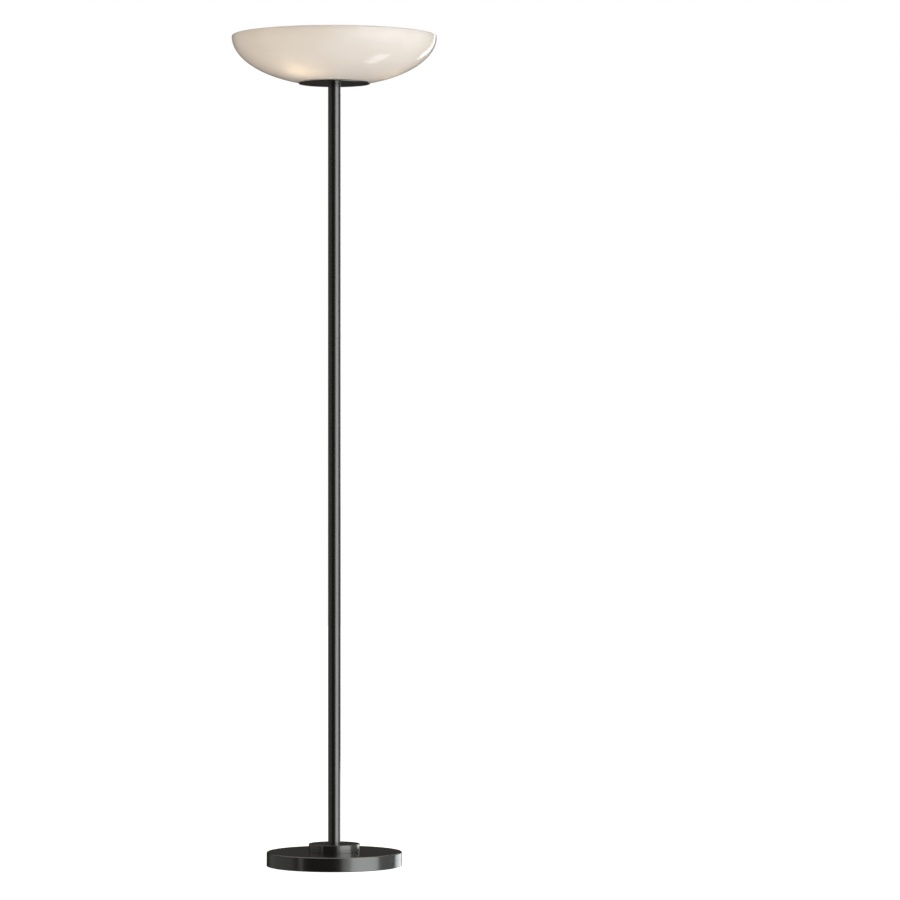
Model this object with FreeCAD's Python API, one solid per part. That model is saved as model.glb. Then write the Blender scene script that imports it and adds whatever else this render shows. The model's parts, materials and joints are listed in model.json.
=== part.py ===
import FreeCAD, Part
import math
import os

# Torchiere floor lamp: a wide opal glass bowl, open at the top, on a thin metal plate at the head of a
# slim round pole, with a stepped round base. Three screw-in lamps splay out below the bowl's rim.
# Millimetres, +Z up. The origin is on the pole's axis, on the floor. +Y points to the back, where the
# mains cord enters the base.

V = FreeCAD.Vector
ORIGIN = V(0, 0, 0)
X_AXIS = V(1, 0, 0)
Y_AXIS = V(0, 1, 0)
Z_AXIS = V(0, 0, 1)
FULL_TURN = 360.0
TINY = Part.Precision.confusion()

# ---- Driving dimensions: what the eye sees -----------------------------------------------------------
OVERALL_HEIGHT = 1851.5
BOWL_RADIUS = 228.5
BOWL_DEPTH = 104.0  # from the top of the rim to the flat seat
BOWL_HALF_AXIS = 108.5  # the outside is half an ellipse of this depth, cut off flat at the seat
GLASS = 5.0  # wall
PLATE_RADIUS = 79.5
PLATE_THICK = 2.5
POLE_RADIUS = 14.0
POLE_WALL = 1.5
POLE_SECTIONS = 3
COLLAR_RADIUS = 57.0
COLLAR_TOP = 50.0
BASE_RADIUS = 151.0
BASE_TOP = 32.0

# ---- Edges and room ------------------------------------------------------------------------------------
FINE = 0.4  # broken edges of sheet, turned and moulded pieces
SOFT = 0.8  # edges that a hand meets
THREAD_GAP = 0.06  # radial room between a plain-modelled thread and its mate
SLIP = 0.15  # radial room round a tube in its socket

# ---- Base ----------------------------------------------------------------------------------------------
PAD_THICK = 2.0
PAD_RADIUS = 147.0
SHEET = 1.5  # pressed steel of the cover and the closing plate
COVER_EDGE = 2.2
COVER_FOOT = 1.0  # the cover's lower edge stands this far off the floor
CLOSING_PLATE_RADIUS = 149.0
WEIGHT_RADIUS = 140.0
WEIGHT_THICK = 18.0
CAST_EDGE = 3.0
POCKET_RADIUS = 24.0
POCKET_DEPTH = 14.0
NOTCH = (20.0, 28.0, 12.0)  # width, depth and height of the cord's notch in the weight's back
BOSS_COUNT = 3
BOSS_FIRST_DEG = 30.0
BOSS_CIRCLE = 110.0
BOSS_RADIUS = 9.0
SCREW_RADIUS = 2.0  # M4 countersunk
SCREW_HEAD_RADIUS = 3.8
SCREW_HEAD_DEPTH = SHEET
SCREW_LENGTH = 10.0
SCREW_SLOT = (4.4, 0.8, 1.3)
COLLAR_SOCKET = 10.0  # depth of the pole's socket in the collar
COLLAR_RELIEF = (18.0, 50.0, 5.0)  # inner radius, outer radius and depth of the ring hollowed out below

# ---- Cord inlet and inner lead -------------------------------------------------------------------------
INLET_HEIGHT = 12.0
INLET_HOLE = 6.5
GLAND_BORE = 2.5
GLAND_FLANGE = 8.2
GLAND_INNER_LIP = 2.4
GLAND_OUTER_LIP = 2.2
GLAND_PLAY = 0.05
LEAD_RADIUS = 2.2
LEAD_BEND = 14.0  # the bend up into the pole, as large as the base leaves room for
LEAD_BEND_Y = (145.0, 130.0, 100.0)  # the end at the gland, and the two gentle bends

# ---- Threaded rod, nuts and washers --------------------------------------------------------------------
NIPPLE_RADIUS = 5.0  # M10 x 1 hollow rod
NIPPLE_BORE = 3.5
CLEAR_HOLE = 5.2
NUT_FLATS = 14.0
NUT_THICK = 3.0
SPRING_WASHER_RADIUS = 9.2
SPRING_WASHER_THICK = 1.2
SPRING_WASHER_SLANT = 20.0
BASE_WASHER_RADIUS = 16.0
BASE_WASHER_THICK = 1.5
ROD_SHOWING = 0.8  # rod past the nut
PLUG_LENGTH = 35.0
PLUG_ENGAGED = 30.0  # rod inside a plug
COUPLER_LENGTH = 60.0
COUPLER_BORE = 4.0
COUPLER_GROOVE = (3.0, 1.0)  # width and depth of the relief at the joint

# ---- Shade seat ----------------------------------------------------------------------------------------
SHADE_HOLE = 65.0  # the bowl and the clamp ring pass over the three lampholders
GASKET = 1.0
GASKET_INNER = 66.5
GASKET_OUTER = 76.5
LOCATOR_RADIUS = 63.8  # the plate's upstanding ring, which centres the glass
LOCATOR_WALL = 2.0
LOCATOR_HEIGHT = 4.5
STUD_RADIUS = 2.0
STUD_CIRCLE = 57.0
STUD_ABOVE_CLAMP = 11.0
CLAMP_THICK = 1.5
CLAMP_OUTER = 77.0
CLAMP_INNER = 63.5
CLAMP_TAB = 7.5  # half width of the three tabs that reach in to the studs
THUMB_FLANGE = (6.4, 1.4)  # radius, thickness
THUMB_RADIUS = 5.6
THUMB_HEIGHT = 8.5
THUMB_FLUTES = 20
THUMB_FLUTE_RADIUS = 0.55

# ---- Lampholder cluster --------------------------------------------------------------------------------
ARM_COUNT = 3
FIRST_ARM_DEG = -5.0
ARM_TILT_DEG = 20.0
HUB_ABOVE_SEAT = 23.0  # height of the point where the arms' axes meet
HUB_RADIUS = 17.0
HUB_WALL = 2.5
HUB_DOWN = 11.0
HUB_UP = 16.5
NECK_RADIUS = 11.0
ARM_BOSS_RADIUS = 9.0
LID_SPIGOT = 3.0
LID_RISE = 4.0
FINIAL_FLANGE = (7.5, 2.0)  # radius, thickness
FINIAL_WAIST = (4.2, 3.4)  # radius, height over the lid
FINIAL_BALL = (6.2, 6.4)
FINIAL_HEIGHT = 10.8
SPLICE_RADIUS = 5.0
SPLICE_HEIGHT = 8.0
SPLICE_DROP = 2.5  # the cap starts this far below the arms' meeting point
HOLDER_LEAD_RADIUS = 1.6

# ---- One lampholder: distances along its arm, from the hub's axis --------------------------------------
HOLDER_START = 22.6
HOLDER_MOUTH = 60.0
HOLDER_RADIUS = 18.0
HOLDER_BARREL = 17.0
HOLDER_BACK_RADIUS = 11.0
HOLDER_COLLAR = 14.0  # length of the wider mouth
HOLDER_FLUTES = 24
HOLDER_FLUTE_RADIUS = 0.9
CHAMBER_RADIUS = 6.5  # wiring chamber, behind the contact
CHAMBER_START = HOLDER_START + 6.5
INNER_FLOOR = HOLDER_START + 11.0
LINER_OUTER = 14.1
LINER_ROOT = 13.7
LINER_CREST = 13.2
LINER_TURNS = 6
CONTACT_STRIP = 0.5
CONTACT_WIDTH = 5.0
CONTACT_HEIGHT = 2.4
CONTACT_REACH = 9.0

# ---- One lamp, E26 cap, screwed home -------------------------------------------------------------------
THREAD_PITCH = 3.63
THREAD_FLANK = 0.42  # half of a ring's foot, as a share of the pitch
THREAD_TIP = 0.55  # half of a ring's rounded tip
CAP_TURNS = 5
CAP_CREST = 12.9
CAP_ROOT = 12.1
CAP_WALL = 0.5
CAP_NECK = 9.6
CAP_NECK_HEIGHT = 2.0
BUTTON = (3.0, 4.6, 1.2)  # foot radius, top radius and height of the solder contact
INSULATOR_FOOT = 5.4
INSULATOR_RADIUS = 9.4
LAMP_FOOT = INNER_FLOOR + CONTACT_HEIGHT + 0.1
LAMP_LENGTH = 108.0
CAP_FOOT = LAMP_FOOT + 3.6
CAP_SKIRT = CAP_FOOT + THREAD_PITCH * CAP_TURNS
HOUSING_FOOT = HOLDER_MOUTH + 1.2
HOUSING_TOP = LAMP_FOOT + 62.0
HOUSING_FOOT_RADIUS = 13.6
HOUSING_RADIUS = 26.2
HOUSING_WALL = 1.6
HOUSING_RIM_HOLE = 22.5
GLOBE_RADIUS = 30.0
GLOBE_WALL = 1.4
GLOBE_CENTRE = LAMP_FOOT + LAMP_LENGTH - GLOBE_RADIUS
BOARD_RADIUS = 23.4
BOARD_THICK = 1.0
CHIP = (3.0, 0.8)  # side, thickness
CHIP_COUNT = 9
CHIP_CIRCLE = 14.0

# ---- Worked out from the above -------------------------------------------------------------------------
SEAT = OVERALL_HEIGHT - BOWL_DEPTH
RIM_ROUND = GLASS / 2
BOWL_CENTRE = OVERALL_HEIGHT - RIM_ROUND
PLATE_TOP = SEAT - GASKET
PLATE_BOTTOM = PLATE_TOP - PLATE_THICK
CLAMP_LOW = SEAT + GLASS + GASKET
CLAMP_TOP = CLAMP_LOW + CLAMP_THICK
STUD_FIRST_DEG = FIRST_ARM_DEG + FULL_TURN / ARM_COUNT / 2
HUB_CENTRE = SEAT + HUB_ABOVE_SEAT
HUB_LOW = HUB_CENTRE - HUB_DOWN
HUB_TOP = HUB_CENTRE + HUB_UP
HUB_FLOOR = HUB_LOW + HUB_WALL
HUB_INNER = HUB_RADIUS - HUB_WALL
NUT_STACK = SPRING_WASHER_THICK + NUT_THICK
NIPPLE_HEAD = HUB_FLOOR + NUT_STACK + ROD_SHOWING
SPLICE_LOW = HUB_CENTRE - SPLICE_DROP
PLATE_CAVITY = PAD_THICK + SHEET  # inner face of the closing plate
WEIGHT_TOP = BASE_TOP - SHEET
WEIGHT_BOTTOM = WEIGHT_TOP - WEIGHT_THICK
POCKET_TOP = WEIGHT_BOTTOM + POCKET_DEPTH
WASHER_LOW = POCKET_TOP - BASE_WASHER_THICK
NIPPLE_FOOT = WASHER_LOW - NUT_STACK - ROD_SHOWING
COVER_INNER = BASE_RADIUS - SHEET
POLE_FOOT = COLLAR_TOP - COLLAR_SOCKET
POLE_INNER = POLE_RADIUS - POLE_WALL


# ---- Helpers -------------------------------------------------------------------------------------------
def corner(before, point, after, radius):
    """Start, middle and end of the arc that rounds a corner of an outline."""
    back = (before - point).normalize()
    ahead = (after - point).normalize()
    half = back.getAngle(ahead) / 2
    reach = radius / math.tan(half)
    centre = point + (back + ahead).normalize() * (radius / math.sin(half))
    middle = centre + (point - centre).normalize() * radius
    return point + back * reach, middle, point + ahead * reach


def rounded(points, closed):
    """A wire through (position, radius) pairs: straight runs, and arcs where a radius is given."""
    count = len(points)
    corners = []
    for i, (point, radius) in enumerate(points):
        if radius:
            corners.append(corner(points[i - 1][0], point, points[(i + 1) % count][0], radius))
        else:
            corners.append((point, None, point))
    edges = [Part.Arc(*arc).toShape() for arc in corners if arc[1] is not None]
    for i in range(count if closed else count - 1):
        here = corners[i][2]
        there = corners[(i + 1) % count][0]
        if here.distanceToPoint(there) > TINY:
            edges.append(Part.LineSegment(here, there).toShape())
    return Part.Wire(Part.__sortEdges__(edges))


def turned(profile):
    """A turned piece from its half section: (radius, height) or (radius, height, corner radius) points."""
    points = [(V(entry[0], 0, entry[1]), entry[2] if len(entry) > 2 else 0) for entry in profile]
    return Part.Face(rounded(points, True)).revolve(ORIGIN, Z_AXIS, FULL_TURN)


def ring(outer, inner, low, high, edge=0):
    """A washer or tube, with its outer edges rounded by edge."""
    return turned([(inner, low), (outer, low, edge), (outer, high, edge), (inner, high)])


def pin(radius, low, high, edge=0):
    """A solid round rod."""
    return turned([(0, low), (radius, low, edge), (radius, high, edge), (0, high)])


def block(size, corner_at):
    """A box of the given (x, y, z) size, with its lowest corner at corner_at."""
    return Part.makeBox(*size, V(*corner_at))


def moved(shape, x=0.0, z=0.0):
    copy = shape.copy()
    copy.translate(V(x, 0, z))
    return copy


def spun(shape, degrees):
    """A copy turned about the pole's axis."""
    copy = shape.copy()
    copy.rotate(ORIGIN, Z_AXIS, degrees)
    return copy


def around(shape, count, first_deg=0.0):
    """Copies of a piece, spaced evenly about the pole's axis."""
    return [spun(shape, first_deg + i * FULL_TURN / count) for i in range(count)]


def to_the_back(shape, height):
    """A piece modelled up +Z, laid along +Y at a height over the floor."""
    copy = shape.copy()
    copy.rotate(ORIGIN, X_AXIS, -90)
    return moved(copy, z=height)


def on_arm(shape, index):
    """A piece modelled up +Z from the hub's axis, laid along one of the cluster's arms."""
    copy = shape.copy()
    copy.rotate(ORIGIN, Y_AXIS, 90 - ARM_TILT_DEG)
    return moved(spun(copy, FIRST_ARM_DEG + index * FULL_TURN / ARM_COUNT), z=HUB_CENTRE)


def one_per_arm(shape):
    return Part.makeCompound([on_arm(shape, i) for i in range(ARM_COUNT)])


# ---- Base ----------------------------------------------------------------------------------------------
def foot_pad():
    return pin(PAD_RADIUS, 0, PAD_THICK, FINE)


def countersunk_screw(radius, head_radius):
    """Head and shank of a screw that points up, its head flush with the closing plate's underside."""
    high = PAD_THICK + SCREW_LENGTH
    return turned(
        [
            (0, PAD_THICK),
            (head_radius, PAD_THICK),
            (radius, PAD_THICK + SCREW_HEAD_DEPTH),
            (radius, high, FINE),
            (0, high),
        ]
    )


def closing_plate():
    """Sheet disc that shuts the base from below."""
    plate = pin(CLOSING_PLATE_RADIUS, PAD_THICK, PLATE_CAVITY, FINE)
    hole = moved(countersunk_screw(SCREW_RADIUS + SLIP, SCREW_HEAD_RADIUS + SLIP), x=BOSS_CIRCLE)
    return plate.cut(around(hole, BOSS_COUNT, BOSS_FIRST_DEG))


def closing_plate_screws():
    """Three M4 countersunk screws with cross recesses."""
    long, wide, deep = SCREW_SLOT
    slot = block((long, wide, deep), (-long / 2, -wide / 2, PAD_THICK))
    screw = countersunk_screw(SCREW_RADIUS, SCREW_HEAD_RADIUS).cut([slot, spun(slot, 90)])
    return Part.makeCompound(around(moved(screw, x=BOSS_CIRCLE), BOSS_COUNT, BOSS_FIRST_DEG))


def base_weight():
    """Cast-iron slug: a pocket for the nut, bosses for the closing plate and a notch for the cord."""
    slug = turned(
        [
            (CLEAR_HOLE, POCKET_TOP),
            (POCKET_RADIUS, POCKET_TOP, CAST_EDGE),
            (POCKET_RADIUS, WEIGHT_BOTTOM, SOFT),
            (WEIGHT_RADIUS, WEIGHT_BOTTOM, CAST_EDGE),
            (WEIGHT_RADIUS, WEIGHT_TOP, CAST_EDGE),
            (CLEAR_HOLE, WEIGHT_TOP),
        ]
    )
    boss = moved(pin(BOSS_RADIUS, PLATE_CAVITY, WEIGHT_BOTTOM + CAST_EDGE), x=BOSS_CIRCLE)
    tapped = pin(SCREW_RADIUS + THREAD_GAP, PAD_THICK, PAD_THICK + SCREW_LENGTH + SOFT)
    tapped = moved(tapped, x=BOSS_CIRCLE)
    slug = slug.fuse(around(boss, BOSS_COUNT, BOSS_FIRST_DEG))
    slug = slug.cut(around(tapped, BOSS_COUNT, BOSS_FIRST_DEG))
    wide, deep, high = NOTCH
    notch = block((wide, 2 * deep, high + SOFT), (-wide / 2, WEIGHT_RADIUS - deep, WEIGHT_BOTTOM - SOFT))
    return slug.cut(notch).removeSplitter()


def base_cover():
    """Spun steel cover: a flat top with a small round edge, and a straight skirt."""
    shell = turned(
        [
            (CLEAR_HOLE, WEIGHT_TOP),
            (COVER_INNER, WEIGHT_TOP, SOFT),
            (COVER_INNER, COVER_FOOT),
            (BASE_RADIUS, COVER_FOOT, FINE),
            (BASE_RADIUS, BASE_TOP, COVER_EDGE),
            (CLEAR_HOLE, BASE_TOP),
        ]
    )
    inlet = pin(INLET_HOLE, BASE_RADIUS - 2 * INLET_HOLE, BASE_RADIUS + INLET_HOLE)
    return shell.cut(to_the_back(inlet, INLET_HEIGHT))


def cord_gland():
    """Moulded bush in the back of the cover, with a groove that grips the sheet's edge."""
    inside = math.sqrt(COVER_INNER**2 - GLAND_FLANGE**2) - GLAND_PLAY
    outside = BASE_RADIUS + GLAND_PLAY
    groove = INLET_HOLE - SLIP
    bush = turned(
        [
            (GLAND_BORE, inside - GLAND_INNER_LIP),
            (GLAND_FLANGE, inside - GLAND_INNER_LIP, SOFT),
            (GLAND_FLANGE, inside),
            (groove, inside),
            (groove, outside),
            (GLAND_FLANGE, outside),
            (GLAND_FLANGE, outside + GLAND_OUTER_LIP, SOFT),
            (GLAND_BORE, outside + GLAND_OUTER_LIP),
        ]
    )
    return to_the_back(bush, INLET_HEIGHT)


def base_collar():
    """Turned collar that steps the base up to the pole; the pole stands in its socket."""
    relief_inner, relief_outer, relief_depth = COLLAR_RELIEF
    socket = POLE_RADIUS + SLIP
    return turned(
        [
            (CLEAR_HOLE, BASE_TOP),
            (relief_inner, BASE_TOP),
            (relief_inner, BASE_TOP + relief_depth, SOFT),
            (relief_outer, BASE_TOP + relief_depth, SOFT),
            (relief_outer, BASE_TOP),
            (COLLAR_RADIUS, BASE_TOP, FINE),
            (COLLAR_RADIUS, COLLAR_TOP, SOFT),
            (socket, COLLAR_TOP, FINE),
            (socket, POLE_FOOT),
            (CLEAR_HOLE, POLE_FOOT),
        ]
    )


# ---- Threaded rod, nuts and washers --------------------------------------------------------------------
def nipple(low, high):
    """Hollow threaded rod, its thread plain-modelled."""
    return ring(NIPPLE_RADIUS, NIPPLE_BORE, low, high, FINE)


def base_washer():
    return ring(BASE_WASHER_RADIUS, CLEAR_HOLE, WASHER_LOW, POCKET_TOP, FINE)


def spring_washer(low):
    """Split washer with a slanting gap."""
    thick = SPRING_WASHER_THICK
    washer = ring(SPRING_WASHER_RADIUS, CLEAR_HOLE, low, low + thick)
    gap = block((2 * SPRING_WASHER_RADIUS, thick, 3 * thick), (0, 0, -thick))
    gap.rotate(ORIGIN, X_AXIS, SPRING_WASHER_SLANT)
    return washer.cut(moved(gap, z=low))


def lock_nut(low):
    """Thin hexagon nut, its corners bevelled on both faces."""
    corner_radius = NUT_FLATS / math.sqrt(3)
    bevel = (corner_radius - NUT_FLATS / 2) / 2
    high = low + NUT_THICK
    points = [spun_point(corner_radius, 60 * i, low) for i in range(7)]
    prism = Part.Face(Part.makePolygon(points)).extrude(V(0, 0, NUT_THICK))
    bevelled = turned(
        [
            (NIPPLE_RADIUS + THREAD_GAP, low),
            (corner_radius - bevel, low),
            (corner_radius, low + bevel),
            (corner_radius, high - bevel),
            (corner_radius - bevel, high),
            (NIPPLE_RADIUS + THREAD_GAP, high),
        ]
    )
    return prism.common(bevelled)


def spun_point(radius, degrees, height):
    angle = math.radians(degrees)
    return V(radius * math.cos(angle), radius * math.sin(angle), height)


def spring_washers():
    return Part.makeCompound([spring_washer(WASHER_LOW - SPRING_WASHER_THICK), spring_washer(HUB_FLOOR)])


def lock_nuts():
    """One under the base's weight and one on the hub's floor."""
    heights = (WASHER_LOW - NUT_STACK, HUB_FLOOR + SPRING_WASHER_THICK)
    return Part.makeCompound([lock_nut(height) for height in heights])


# ---- Pole ----------------------------------------------------------------------------------------------
def pole_joint(index):
    """Height of the joint under a pole section; the one past the last is the pole's head."""
    return POLE_FOOT + (PLATE_BOTTOM - POLE_FOOT) * index / POLE_SECTIONS


def pole_section(index):
    return ring(POLE_RADIUS, POLE_INNER, pole_joint(index), pole_joint(index + 1))


def pole_coupler(index):
    """Bored connector, half its length in each of two tubes, with a relief groove at the joint."""
    middle = pole_joint(index)
    outer = POLE_INNER - THREAD_GAP
    wide, deep = COUPLER_GROOVE
    groove = ring(POLE_INNER, outer - deep, middle - wide / 2, middle + wide / 2)
    half = COUPLER_LENGTH / 2
    return ring(outer, COUPLER_BORE, middle - half, middle + half, SOFT).cut(groove)


def pole_couplers():
    return Part.makeCompound([pole_coupler(i) for i in range(1, POLE_SECTIONS)])


def pole_plugs():
    """Inserts welded in the pole's two ends, threaded for the hollow rods."""
    outer = POLE_INNER - THREAD_GAP
    bore = NIPPLE_RADIUS + THREAD_GAP
    lows = (POLE_FOOT, PLATE_BOTTOM - PLUG_LENGTH)
    return Part.makeCompound([ring(outer, bore, low, low + PLUG_LENGTH, SOFT) for low in lows])


def easy_bend(before, point, after):
    """The largest arc that two runs of a lead allow at the point between them."""
    turn = math.pi - (before - point).getAngle(after - point)
    shorter = min(before.distanceToPoint(point), after.distanceToPoint(point))
    return 0.45 * shorter / math.tan(turn / 2)


def inner_lead():
    """The two-core lead inside the lamp, from the gland through the base and up the pole into the hub."""
    start, first, second = LEAD_BEND_Y
    low = NIPPLE_FOOT - LEAD_BEND
    route = [V(0, start, INLET_HEIGHT), V(0, first, INLET_HEIGHT), V(0, second, low), V(0, 0, low)]
    route.append(V(0, 0, SPLICE_LOW))
    bends = [0, easy_bend(*route[0:3]), easy_bend(*route[1:4]), LEAD_BEND, 0]
    path = rounded(list(zip(route, bends)), False)
    section = Part.Wire(Part.makeCircle(LEAD_RADIUS, route[0], route[1] - route[0]))
    tube = path.makePipeShell([section], True, False)
    expected = path.Length * math.pi * LEAD_RADIUS**2
    print("inner lead: bend radii", [round(bend, 1) for bend in bends[1:-1]])
    print("inner lead: volume over section times length", round(tube.Volume / expected, 4))
    return tube


# ---- Shade seat ----------------------------------------------------------------------------------------
def shade_plate():
    """The thin disc under the bowl, with an upstanding ring that centres the glass."""
    locator_top = PLATE_TOP + LOCATOR_HEIGHT
    locator_inner = LOCATOR_RADIUS - LOCATOR_WALL
    return turned(
        [
            (CLEAR_HOLE, PLATE_BOTTOM),
            (PLATE_RADIUS, PLATE_BOTTOM, SOFT),
            (PLATE_RADIUS, PLATE_TOP, SOFT),
            (LOCATOR_RADIUS, PLATE_TOP),
            (LOCATOR_RADIUS, locator_top, FINE),
            (locator_inner, locator_top, FINE),
            (locator_inner, PLATE_TOP),
            (CLEAR_HOLE, PLATE_TOP),
        ]
    )


def shade_gasket(low):
    return ring(GASKET_OUTER, GASKET_INNER, low, low + GASKET)


def bowl_edge(inset, foot):
    """The quarter-ellipse of the bowl's surface, inset from its outside, from the rim down to foot."""
    deep = BOWL_HALF_AXIS - inset
    centre = V(0, 0, BOWL_CENTRE)
    ellipse = Part.Ellipse(centre + V(BOWL_RADIUS - inset, 0, 0), centre - V(0, 0, deep), centre)
    return ellipse.toShape(0, math.asin((BOWL_CENTRE - foot) / deep))


def lowest(edge):
    return min(edge.Vertexes, key=lambda vertex: vertex.Z).Point


def round_edges(shape, radius, height=None):
    """A shape's circular edges of one radius, at one height if it is given."""
    found = []
    for edge in shape.Edges:
        curve = edge.Curve
        if not isinstance(curve, Part.Circle) or abs(curve.Radius - radius) > TINY:
            continue
        if height is None or abs(curve.Center.z - height) < TINY:
            found.append(edge)
    return found


def glass_bowl():
    """Opal glass: half an ellipsoid with a flat, holed seat and a fire-polished rim."""
    outer = bowl_edge(0, SEAT)
    inner = bowl_edge(GLASS, SEAT + GLASS)
    rim = Part.Arc(
        V(BOWL_RADIUS, 0, BOWL_CENTRE),
        V(BOWL_RADIUS - RIM_ROUND, 0, OVERALL_HEIGHT),
        V(BOWL_RADIUS - GLASS, 0, BOWL_CENTRE),
    ).toShape()
    hole = [V(SHADE_HOLE, 0, SEAT), V(SHADE_HOLE, 0, SEAT + GLASS)]
    seat = Part.makePolygon([lowest(outer)] + hole + [lowest(inner)])
    outline = Part.Wire(Part.__sortEdges__([outer, rim, inner] + seat.Edges))
    bowl = Part.Face(outline).revolve(ORIGIN, Z_AXIS, FULL_TURN)
    bowl = bowl.makeFillet(RIM_ROUND, round_edges(bowl, lowest(outer).x, SEAT))
    return bowl.makeFillet(SOFT, round_edges(bowl, SHADE_HOLE))


def clamp_ring():
    """Flat steel ring that holds the glass down by three inward tabs, one to each stud."""
    band = ring(CLAMP_OUTER, CLAMP_INNER, CLAMP_LOW, CLAMP_TOP)
    reach = CLAMP_INNER + SOFT - STUD_CIRCLE
    tab = moved(pin(CLAMP_TAB, CLAMP_LOW, CLAMP_TOP), x=STUD_CIRCLE)
    bridge = block((reach, 2 * CLAMP_TAB, CLAMP_THICK), (STUD_CIRCLE, -CLAMP_TAB, CLAMP_LOW))
    hole = moved(pin(STUD_RADIUS + 2 * SLIP, CLAMP_LOW, CLAMP_TOP), x=STUD_CIRCLE)
    tabs = around(tab.fuse(bridge).cut(hole), ARM_COUNT, STUD_FIRST_DEG)
    return band.fuse(tabs).removeSplitter()


def shade_studs():
    stud = moved(pin(STUD_RADIUS, PLATE_TOP, CLAMP_TOP + STUD_ABOVE_CLAMP, FINE), x=STUD_CIRCLE)
    return Part.makeCompound(around(stud, ARM_COUNT, STUD_FIRST_DEG))


def thumb_nuts():
    """Three knurled nuts with flanges."""
    flange_radius, flange_thick = THUMB_FLANGE
    shoulder = CLAMP_TOP + flange_thick
    top = CLAMP_TOP + THUMB_HEIGHT
    nut = turned(
        [
            (STUD_RADIUS + THREAD_GAP, CLAMP_TOP),
            (flange_radius, CLAMP_TOP, FINE),
            (flange_radius, shoulder, FINE),
            (THUMB_RADIUS, shoulder),
            (THUMB_RADIUS, top, SOFT),
            (STUD_RADIUS + THREAD_GAP, top),
        ]
    )
    flute = moved(pin(THUMB_FLUTE_RADIUS, shoulder, top), x=THUMB_RADIUS + THUMB_FLUTE_RADIUS / 2)
    nut = moved(nut.cut(around(flute, THUMB_FLUTES)), x=STUD_CIRCLE)
    return Part.makeCompound(around(nut, ARM_COUNT, STUD_FIRST_DEG))


# ---- Lampholder cluster --------------------------------------------------------------------------------
def cluster_body():
    """Die-cast hub on a neck, with a boss for each lampholder and a hollow for the wiring."""
    hub = turned(
        [
            (0, PLATE_TOP),
            (NECK_RADIUS, PLATE_TOP, FINE),
            (NECK_RADIUS, HUB_LOW, SOFT),
            (HUB_RADIUS, HUB_LOW, CAST_EDGE),
            (HUB_RADIUS, HUB_TOP),
            (0, HUB_TOP),
        ]
    )
    bosses = [on_arm(pin(ARM_BOSS_RADIUS, HUB_INNER, HOLDER_START, FINE), i) for i in range(ARM_COUNT)]
    bores = [on_arm(pin(NIPPLE_RADIUS + THREAD_GAP, HUB_WALL, HOLDER_START), i) for i in range(ARM_COUNT)]
    hollow = [pin(HUB_INNER, HUB_FLOOR, HUB_TOP), pin(CLEAR_HOLE, PLATE_TOP, HUB_TOP)]
    return hub.fuse(bosses).cut(hollow + bores).removeSplitter()


def cluster_lid():
    """Pressed lid with a spigot that grips the hub."""
    spigot = HUB_INNER - THREAD_GAP
    hole = NIPPLE_RADIUS + THREAD_GAP
    return turned(
        [
            (hole, HUB_TOP - LID_SPIGOT),
            (spigot, HUB_TOP - LID_SPIGOT, FINE),
            (spigot, HUB_TOP),
            (HUB_RADIUS, HUB_TOP, FINE),
            (HUB_RADIUS, HUB_TOP + LID_RISE / 2, SOFT),
            (spigot, HUB_TOP + LID_RISE, SOFT),
            (hole, HUB_TOP + LID_RISE),
        ]
    )


def cluster_finial():
    """Turned knob that plugs the lid's hole."""
    low = HUB_TOP + LID_RISE
    flange_radius, flange_thick = FINIAL_FLANGE
    waist_radius, waist_height = FINIAL_WAIST
    ball_radius, ball_height = FINIAL_BALL
    top = low + FINIAL_HEIGHT
    return turned(
        [
            (0, low - LID_RISE),
            (NIPPLE_RADIUS, low - LID_RISE, FINE),
            (NIPPLE_RADIUS, low),
            (flange_radius, low, FINE),
            (flange_radius, low + flange_thick, SOFT),
            (waist_radius, low + waist_height, SOFT),
            (ball_radius, low + ball_height, 2 * SOFT),
            (waist_radius, top, 2 * SOFT),
            (0, top),
        ]
    )


def splice_cap():
    """Crimped cap over the joints of the leads."""
    return turned(
        [
            (0, SPLICE_LOW),
            (SPLICE_RADIUS, SPLICE_LOW),
            (SPLICE_RADIUS, SPLICE_LOW + SPLICE_HEIGHT, SOFT),
            (0, SPLICE_LOW + SPLICE_HEIGHT),
        ]
    )


def holder_leads():
    """Short leads from the splice out to the lampholders' terminals."""
    cap = splice_cap()
    lead = pin(HOLDER_LEAD_RADIUS, HUB_WALL, CHAMBER_START + FINE)
    return Part.makeCompound([on_arm(lead, i).cut(cap) for i in range(ARM_COUNT)])


def holder_nipples():
    return one_per_arm(nipple(HUB_INNER - HUB_WALL / 2, CHAMBER_START - FINE))


# ---- Lampholders -----------------------------------------------------------------------------------------
def thread_rings(root, crest, low, turns):
    """Points of a rolled thread's half section, as closed rings: one round-tipped ridge to each pitch."""
    points = []
    for i in range(turns):
        middle = low + THREAD_PITCH * (i + 0.5)
        points.append((root, middle - THREAD_PITCH * THREAD_FLANK))
        points.append((crest, middle - THREAD_TIP, FINE))
        points.append((crest, middle + THREAD_TIP, FINE))
        points.append((root, middle + THREAD_PITCH * THREAD_FLANK))
    return points


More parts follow.
